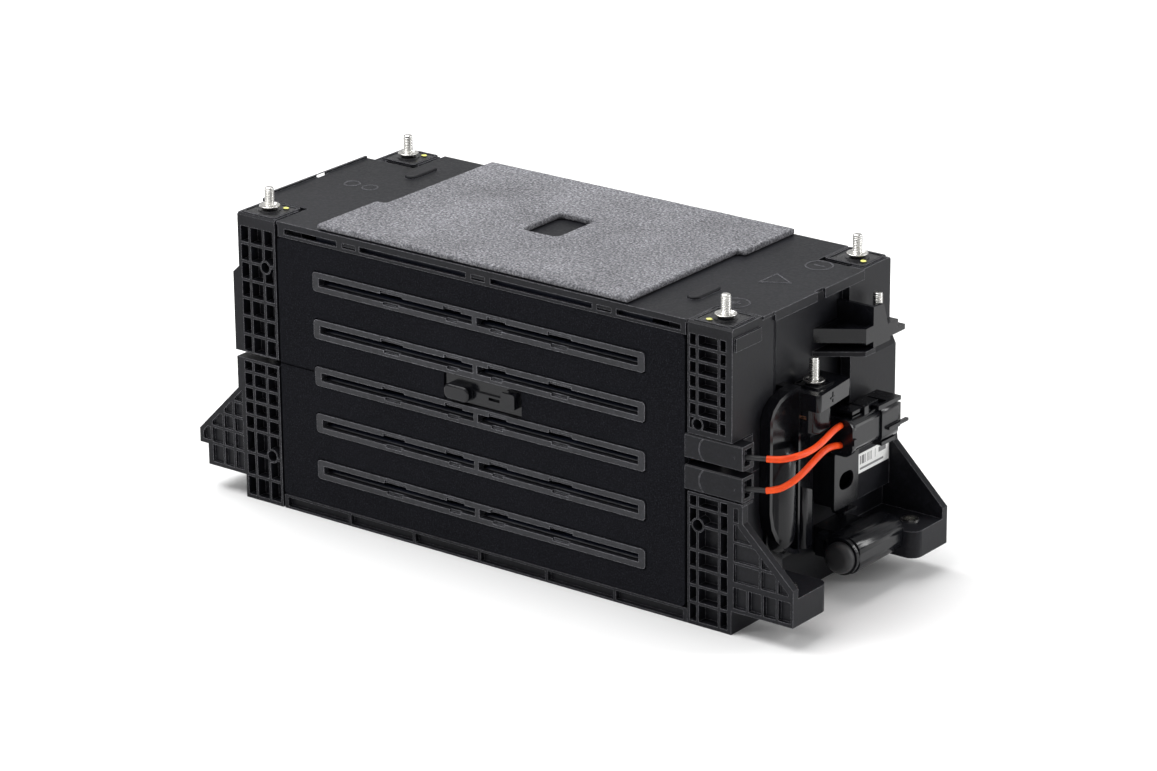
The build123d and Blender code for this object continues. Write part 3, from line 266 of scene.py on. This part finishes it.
def lead_material():
    """Orange silicone jacket with a soft sheen and faint extrusion marks."""
    s = Shader("orange_jacket")
    cloud = s.noise(180.0, 3.0)
    fine = s.noise(1600.0, 2.0)
    tone = s.mix(s.remap(cloud, 0.0, 1.0), (0.74, 0.050, 0.003, 1), (0.90, 0.085, 0.007, 1))
    s.set(Base_Color=tone, Roughness=s.remap(fine, 0.34, 0.5), Specular_IOR_Level=0.3)
    s.set(Normal=s.bump(fine, 0.00004, 0.5))
    return s.material


def rubber_material():
    """Black rubber with a slight bloom."""
    s = Shader("black_rubber")
    cloud = s.noise(90.0, 4.0, 0.6)
    fine = s.noise(1400.0, 2.0)
    tone = s.mix(s.remap(cloud, 0.0, 1.0), (0.008, 0.008, 0.009, 1), (0.022, 0.022, 0.024, 1))
    s.set(Base_Color=tone, Roughness=s.remap(cloud, 0.36, 0.6), Specular_IOR_Level=0.45)
    s.set(Normal=s.bump(fine, 0.00005, 0.5))
    return s.material


BAR_CELLS = 46.0


def label_material():
    """White label with a block of plain bars, one rule and one square, and no lettering."""
    s = Shader("label_paper")
    low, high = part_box("data_label")
    split = s.nodes.new("ShaderNodeSeparateXYZ")
    s.links.new(s.place, split.inputs["Vector"])

    def between(value, a, b):
        return s.math("MULTIPLY", s.math("GREATER_THAN", value, a), s.math("LESS_THAN", value, b))

    def patch(left, right, bottom, top):
        return s.math("MULTIPLY", between(across, left, right), between(upward, bottom, top))

    across = s.remap(split.outputs["Y"], 0.0, 1.0, low.y, high.y)
    upward = s.remap(split.outputs["Z"], 0.0, 1.0, low.z, high.z)
    cell = s.math("FLOOR", s.math("MULTIPLY", across, BAR_CELLS), 0.0)
    uneven = s.nodes.new("ShaderNodeTexWhiteNoise")
    uneven.noise_dimensions = "1D"
    s.links.new(cell, uneven.inputs["W"])
    bars = s.math("MULTIPLY", s.math("GREATER_THAN", uneven.outputs["Value"], 0.52),
                  patch(0.05, 0.56, 0.44, 0.88))
    rule = patch(0.05, 0.82, 0.16, 0.27)
    square = patch(0.66, 0.9, 0.6, 0.86)
    ink = s.math("MAXIMUM", bars, s.math("MAXIMUM", rule, square))
    fibre = s.noise(900.0, 3.0)
    paper = s.mix(s.remap(fibre, 0.0, 1.0), (0.80, 0.80, 0.79, 1), (0.88, 0.88, 0.87, 1))
    s.set(Base_Color=s.mix(s.math("MULTIPLY", ink, 0.8), paper, (0.06, 0.06, 0.065, 1)))
    s.set(Roughness=s.remap(fibre, 0.4, 0.55), Normal=s.bump(fibre, 0.00004, 0.4))
    return s.material


def board_material():
    """Green solder mask with copper tracks showing faintly beneath."""
    s = Shader("circuit_board")
    tracks = s.noise(160.0, 1.0, 0.4, s.stretched((1, 5, 1)))
    tone = s.ramp(tracks, [(0.42, (0.010, 0.075, 0.035)), (0.5, (0.02, 0.16, 0.07)),
                           (0.6, (0.012, 0.09, 0.04))])
    s.set(Base_Color=tone, Roughness=s.remap(tracks, 0.25, 0.4), Normal=s.bump(tracks, 0.00008, 0.4))
    return s.material


def paint_material():
    """Yellow inspection paint, brushed on thick."""
    s = Shader("marker_paint")
    cloud = s.noise(700.0, 3.0)
    tone = s.mix(s.remap(cloud, 0.0, 1.0), (0.62, 0.62, 0.10, 1), (0.85, 0.83, 0.28, 1))
    s.set(Base_Color=tone, Roughness=s.remap(cloud, 0.35, 0.6), Normal=s.bump(cloud, 0.0002, 0.6))
    return s.material


def make_materials():
    """One material for each slot of the record, plus smooth_plastic for glossy mouldings."""
    return {
        "housing_plastic": moulded_plastic("housing_plastic", (0.0045, 0.0046, 0.0062),
                                           (0.0085, 0.0087, 0.0112)),
        "smooth_plastic": moulded_plastic("smooth_plastic", (0.0028, 0.0029, 0.004), (0.0048, 0.005, 0.0066),
                                          grain=2200.0, depth=0.000004, rough=(0.16, 0.24), specular=0.32,
                                          edge_wear_and_highlight=0.0),
        "spacer_plastic": moulded_plastic("spacer_plastic", (0.013, 0.0132, 0.0158), (0.022, 0.0224, 0.0262),
                                          grain=900.0, depth=0.0001, rough=(0.34, 0.5), specular=0.24,
                                          edge_wear_and_highlight=0.5),
        "sealing_mat": mat_material(),
        "foam": foam_material(),
        "cell_can": can_material(),
        "bright_aluminium": zinc_material("bright_aluminium", (0.86, 0.87, 0.88), (0.22, 0.4)),
        "bar_copper": copper_material(),
        "zinc_steel": zinc_material(),
        "coated_steel": moulded_plastic("coated_steel", (0.006, 0.006, 0.007), (0.01, 0.01, 0.011),
                                        grain=700.0, depth=0.00005, rough=(0.35, 0.5), specular=0.3,
                                        edge_wear_and_highlight=0.04),
        "plate_plastic": moulded_plastic("plate_plastic", (0.005, 0.005, 0.006), (0.009, 0.009, 0.0105),
                                         grain=2200.0, depth=0.00003, rough=(0.22, 0.4), specular=0.4,
                                         edge_wear_and_highlight=0.05),
        "connector_plastic": moulded_plastic("connector_plastic", (0.0035, 0.0036, 0.0048),
                                             (0.006, 0.0062, 0.008), grain=2000.0, depth=0.000006,
                                             rough=(0.18, 0.28), specular=0.34, edge_wear_and_highlight=0.0),
        "orange_jacket": lead_material(),
        "black_rubber": rubber_material(),
        "label_paper": label_material(),
        "circuit_board": board_material(),
        "marker_paint": paint_material(),
    }


SMOOTH_NODES = (
    "riser_cover", "positive_terminal_block", "negative_terminal_guard", "vent_manifold", "connector_bracket",
    "harness_clip",
)
# Edge width in millimetres for each slot whose nodes get rounded edges.
ROUNDED = {
    "housing_plastic": 0.35, "spacer_plastic": 0.4, "sealing_mat": 0.35, "plate_plastic": 0.12,
    "connector_plastic": 0.3, "black_rubber": 0.3,
}


def paint_nodes(materials):
    """Every CAD node takes the material of its slot, and plastic nodes get rounded edges."""
    slots = {entry["node"]: entry["material_slot"] for entry in frame["record"]["subparts"]}
    for name, node in NODES.items():
        material = materials["smooth_plastic" if name in SMOOTH_NODES else slots[name]]
        node.data.materials.clear()
        node.data.materials.append(material)
        if slots[name] in ROUNDED:
            round_edges(node, ROUNDED[slots[name]])


def round_edges(piece, width_mm):
    """Small radius on every sharp edge, as a mould leaves it; coplanar triangles are joined first."""
    weld = piece.modifiers.new("weld", "WELD")
    weld.merge_threshold = 0.01 * MM
    flat = piece.modifiers.new("join_flat_faces", "DECIMATE")
    flat.decimate_type = "DISSOLVE"
    flat.angle_limit = math.radians(1)
    bevel = piece.modifiers.new("edge_radius", "BEVEL")
    bevel.width = width_mm * MM
    bevel.segments = 2
    bevel.limit_method = "ANGLE"
    bevel.angle_limit = math.radians(40)
    bevel.harden_normals = True
    bevel.use_clamp_overlap = True


# ---------------------------------------------------------------- new pieces
def new_piece(name, data, material, body, slot, *replaced):
    """Link an object, give it its finish and let it ride on a body."""
    piece = bpy.data.objects.new(name, data)
    bpy.context.scene.collection.objects.link(piece)
    data.materials.append(material)
    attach(piece, body)
    if replaced:
        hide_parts(*replaced)
    return piece


def shade_smooth(mesh):
    mesh.polygons.foreach_set("use_smooth", [True] * len(mesh.polygons))


# Studs and rods, in millimetres. THREAD_STEPS is how many rings make one turn of thread.
THREAD_SIDES = 28
THREAD_PITCH = 1.0
THREAD_STEPS = 6
THREAD_DEPTH = 0.56
ROD_RADIUS = 3.0
ROD_THREAD_START = 184.0
ROD_HEAD_RADIUS = 5.6
ROD_HEAD_HEIGHT = 4.0
STUD_COLLARS = {"positive_terminal_stud": 130.4, "negative_terminal_stud": 149.0}


def threaded_rod(bm, x, y, foot, thread_start, top, radius):
    """Round rod whose upper stretch carries a helical thread; sizes in millimetres."""
    rings = [(foot, radius, False), (thread_start - 0.3, radius, False)]
    count = int((top - 1.0 - thread_start) / THREAD_PITCH * THREAD_STEPS)
    for i in range(count + 1):
        rings.append((thread_start + i * THREAD_PITCH / THREAD_STEPS, radius, True))
    rings += [(top - 0.55, radius * 0.9, False), (top - 0.12, radius * 0.74, False),
              (top, radius * 0.6, False)]
    loops = []
    for z, r, threaded in rings:
        loop = []
        for k in range(THREAD_SIDES):
            angle = 2 * math.pi * k / THREAD_SIDES
            phase = (z / THREAD_PITCH - k / THREAD_SIDES) % 1.0
            depth = THREAD_DEPTH * abs(2 * phase - 1) if threaded else 0.0
            loop.append(bm.verts.new(((x + (r - depth) * math.cos(angle)) * MM,
                                      (y + (r - depth) * math.sin(angle)) * MM, z * MM)))
        loops.append(loop)
    for a, b in zip(loops, loops[1:]):
        for k in range(THREAD_SIDES):
            n = (k + 1) % THREAD_SIDES
            bm.faces.new((a[k], a[n], b[n], b[k]))
    bm.faces.new(list(reversed(loops[0])))
    bm.faces.new(loops[-1])


def lathe(bm, x, y, profile, sides=40):
    """Closed body of revolution about a vertical line; profile is (radius, z) in millimetres."""
    loops = []
    for r, z in profile:
        loops.append([bm.verts.new(((x + r * math.cos(2 * math.pi * k / sides)) * MM,
                                    (y + r * math.sin(2 * math.pi * k / sides)) * MM, z * MM))
                      for k in range(sides)])
    for a, b in zip(loops, loops[1:] + loops[:1]):
        for k in range(sides):
            n = (k + 1) % sides
            bm.faces.new((a[k], a[n], b[n], b[k]))


def collar_profile(z):
    """Section of a flared cup washer standing on z."""
    return [(3.05, z), (4.4, z), (4.7, z + 0.5), (5.2, z + 1.1), (6.1, z + 1.75), (6.35, z + 2.15),
            (6.2, z + 2.45), (5.8, z + 2.5), (5.3, z + 2.2), (4.2, z + 1.55), (3.5, z + 1.35),
            (3.05, z + 1.3)]


def mesh_from(bm, name):
    bmesh.ops.recalc_face_normals(bm, faces=bm.faces)
    mesh = bpy.data.meshes.new(name)
    bm.to_mesh(mesh)
    bm.free()
    shade_smooth(mesh)
    return mesh


def make_studs(materials):
    """Threaded tie rods, cup washers and terminal studs in place of the plain CAD ones."""
    low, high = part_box("tie_rods")
    xs = (low.x / MM + ROD_HEAD_RADIUS, high.x / MM - ROD_HEAD_RADIUS)
    ys = (low.y / MM + ROD_HEAD_RADIUS, high.y / MM - ROD_HEAD_RADIUS)
    foot = low.z / MM
    hexagon = [(0.01, foot), (ROD_HEAD_RADIUS, foot), (ROD_HEAD_RADIUS, foot + ROD_HEAD_HEIGHT),
               (0.01, foot + ROD_HEAD_HEIGHT)]
    bm = bmesh.new()
    for x in xs:
        for y in ys:
            threaded_rod(bm, x, y, foot + 1.5, ROD_THREAD_START, high.z / MM, ROD_RADIUS)
            lathe(bm, x, y, hexagon, 6)
    new_piece("threaded_tie_rods", mesh_from(bm, "threaded_tie_rods"), materials["zinc_steel"], "module",
              "zinc_steel", "tie_rods")
    bm = bmesh.new()
    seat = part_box("cup_washers")[0].z / MM
    for x in xs:
        for y in ys:
            lathe(bm, x, y, collar_profile(seat))
    new_piece("flared_cup_washers", mesh_from(bm, "flared_cup_washers"), materials["zinc_steel"], "module",
              "zinc_steel", "cup_washers")
    for name, collar_z in STUD_COLLARS.items():
        low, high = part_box(name)
        x, y = (low.x + high.x) / 2 / MM, (low.y + high.y) / 2 / MM
        bm = bmesh.new()
        threaded_rod(bm, x, y, low.z / MM, collar_z + 3.0, high.z / MM, ROD_RADIUS)
        lathe(bm, x, y, collar_profile(collar_z))
        new_piece("threaded_" + name, mesh_from(bm, name), materials["zinc_steel"], "module",
                  "zinc_steel", name)


FOAM_VOXEL = 1.1


def make_foam(materials):
    """The foam pad: its CAD outline remeshed finely, then roughened, most of all on the cut sides."""
    source = NODES["foam_pad"]
    low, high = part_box("foam_pad")
    piece = new_piece("grainy_foam_pad", source.data.copy(), materials["foam"], "cover", "foam", "foam_pad")
    piece.data.materials.clear()
    piece.data.materials.append(materials["foam"])
    remesh = piece.modifiers.new("remesh", "REMESH")
    remesh.mode = "VOXEL"
    remesh.voxel_size = FOAM_VOXEL * MM
    graph = bpy.context.evaluated_depsgraph_get()
    fine = bpy.data.meshes.new_from_object(piece.evaluated_get(graph))
    piece.modifiers.clear()
    piece.data = fine
    middle = (low.z + high.z) / 2
    normals = [vertex.normal.copy() for vertex in fine.vertices]
    for vertex, normal in zip(fine.vertices, normals):
        side = 1.0 - abs(normal.z)
        grain = noise.noise(vertex.co * 900.0) + 0.6 * noise.noise(vertex.co * 2100.0)
        swell = noise.noise(vertex.co * 60.0)
        push = (0.10 + 0.30 * side) * grain + 0.12 * swell - 0.12
        if vertex.co.z > middle or side > 0.3:
            vertex.co = vertex.co + normal * push * MM
        vertex.co.z = min(max(vertex.co.z, low.z + 0.02 * MM), high.z)
    shade_smooth(fine)


# Control points of the leads, in millimetres, from the sleeves to the connector.
UPPER_ROUTE = [
    (197.0, -69.2, 107.0), (203.0, -66.7, 107.0), (207.4, -62.6, 107.6), (210.0, -57.0, 108.0),
    (210.8, -49.0, 107.8), (209.2, -36.5, 107.4), (205.0, -20.0, 107.6), (200.0, -6.0, 106.4),
    (195.6, 6.6, 103.6),
]
LOWER_ROUTE = [
    (197.0, -69.2, 88.2), (202.6, -67.2, 89.2), (206.8, -63.0, 91.6), (209.2, -57.2, 94.4),
    (209.8, -49.4, 97.2), (208.0, -37.5, 99.4), (203.6, -22.5, 99.0), (199.0, -7.5, 96.2),
    (195.4, 6.6, 91.4),
]
LEAD_RADIUS = 1.9


def make_lead(name, route, material):
    """One orange lead on a smooth line from its sleeve to the connector's collar."""
    curve = bpy.data.curves.new(name, "CURVE")
    curve.dimensions = "3D"
    curve.bevel_depth = LEAD_RADIUS * MM
    curve.bevel_resolution = 6
    curve.resolution_u = 12
    curve.use_fill_caps = True
    spline = curve.splines.new("NURBS")
    spline.points.add(len(route) - 1)
    for point, place in zip(spline.points, route):
        point.co = (*[c * MM for c in place], 1)
    spline.order_u = 3
    spline.use_endpoint_u = True
    piece = new_piece(name + "_jacket", curve, material, "module", "orange_jacket", name)


PAINT_DOTS = [(160.9, -73.5), (173.9, 59.4), (-158.4, 71.0), (-158.4, -59.0)]
DOT_RADII = (1.9, 1.7, 0.5)


def make_paint_dots(materials):
    """Dabs of inspection paint on the nubs of the corner plates."""
    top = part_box("corner_plates")[1].z
    for number, (x, y) in enumerate(PAINT_DOTS, 1):
        bm = bmesh.new()
        bmesh.ops.create_uvsphere(bm, u_segments=20, v_segments=12, radius=1.0)
        place = Matrix.Translation((x * MM, y * MM, top)) @ Matrix.Diagonal((*[r * MM for r in DOT_RADII], 1))
        bmesh.ops.transform(bm, matrix=place, verts=bm.verts)
        for vertex in bm.verts:
            vertex.co += vertex.normal * 0.15 * MM * noise.noise(vertex.co * 900.0)
        name = "paint_dot_%d" % number
        new_piece(name, mesh_from(bm, name), materials["marker_paint"], "module", "plate_plastic")


# ---------------------------------------------------------------- stage
# Floor and backdrop, in metres.
FLOOR_FRONT = -6.0
CURVE_START = 3.0
CURVE_RADIUS = 1.5
BACKDROP_TOP = 6.0
FLOOR_HALF_WIDTH = 9.0
WORLD_STRENGTH = 0.5


def make_stage():
    """Plain pale floor with a soft curved backdrop."""
    s = Shader("stage_white")
    cloud = s.noise(3.0, 2.0)
    s.set(Base_Color=s.mix(s.remap(cloud, 0.0, 1.0), grey(0.93), grey(0.95)))
    s.set(Roughness=0.75, Specular_IOR_Level=0.2)
    bm = bmesh.new()
    profile = [(FLOOR_FRONT, 0.0), (CURVE_START, 0.0)]
    for step in range(1, 11):
        angle = math.radians(9 * step)
        profile.append((CURVE_START + CURVE_RADIUS * math.sin(angle),
                        CURVE_RADIUS - CURVE_RADIUS * math.cos(angle)))
    profile.append((CURVE_START + CURVE_RADIUS, BACKDROP_TOP))
    rows = []
    for y, z in profile:
        rows.append([bm.verts.new((x, y, z)) for x in (-FLOOR_HALF_WIDTH, FLOOR_HALF_WIDTH)])
    for a, b in zip(rows, rows[1:]):
        bm.faces.new((a[0], a[1], b[1], b[0]))
    turn = Matrix.Rotation(math.radians(CAMERA_AZIMUTH), 3, "Z")
    bmesh.ops.rotate(bm, verts=bm.verts, cent=(0, 0, 0), matrix=turn)
    mesh = bpy.data.meshes.new("floor")
    bm.to_mesh(mesh)
    bm.free()
    shade_smooth(mesh)
    mesh.materials.append(s.material)
    floor = bpy.data.objects.new("floor", mesh)
    bpy.context.scene.collection.objects.link(floor)


def softbox(name, place, aim, size, power):
    """White rectangular light; place, aim and size in metres, power in watts."""
    data = bpy.data.lights.new(name, "AREA")
    data.shape = "RECTANGLE"
    data.size, data.size_y = size
    data.energy = power
    light = bpy.data.objects.new(name, data)
    bpy.context.scene.collection.objects.link(light)
    light.location = place
    light.rotation_euler = (Vector(aim) - Vector(place)).to_track_quat("-Z", "Y").to_euler()


def make_lights():
    softbox("key_softbox", (-0.7, -0.1, 2.2), (0, 0, 0), (2.4, 2.0), 68)
    softbox("back_strip", (1.9, 1.3, 0.9), (0.15, 0, 0.08), (0.35, 1.4), 20)
    softbox("front_softbox", (-1.4, -2.5, 1.6), (0, 0, 0.1), (0.8, 0.6), 12)
    world = bpy.data.worlds.new("studio")
    world.use_nodes = True
    background = world.node_tree.nodes["Background"]
    background.inputs["Color"].default_value = grey(1)
    background.inputs["Strength"].default_value = WORLD_STRENGTH
    bpy.context.scene.world = world
    bpy.context.scene.view_settings.view_transform = "Standard"


# ---------------------------------------------------------------- build
make_camera()
MATERIALS = make_materials()
make_lead("upper_lead", UPPER_ROUTE, MATERIALS["orange_jacket"])
make_lead("lower_lead", LOWER_ROUTE, MATERIALS["orange_jacket"])
paint_nodes(MATERIALS)
make_foam(MATERIALS)
make_studs(MATERIALS)
make_paint_dots(MATERIALS)
make_stage()
make_lights()
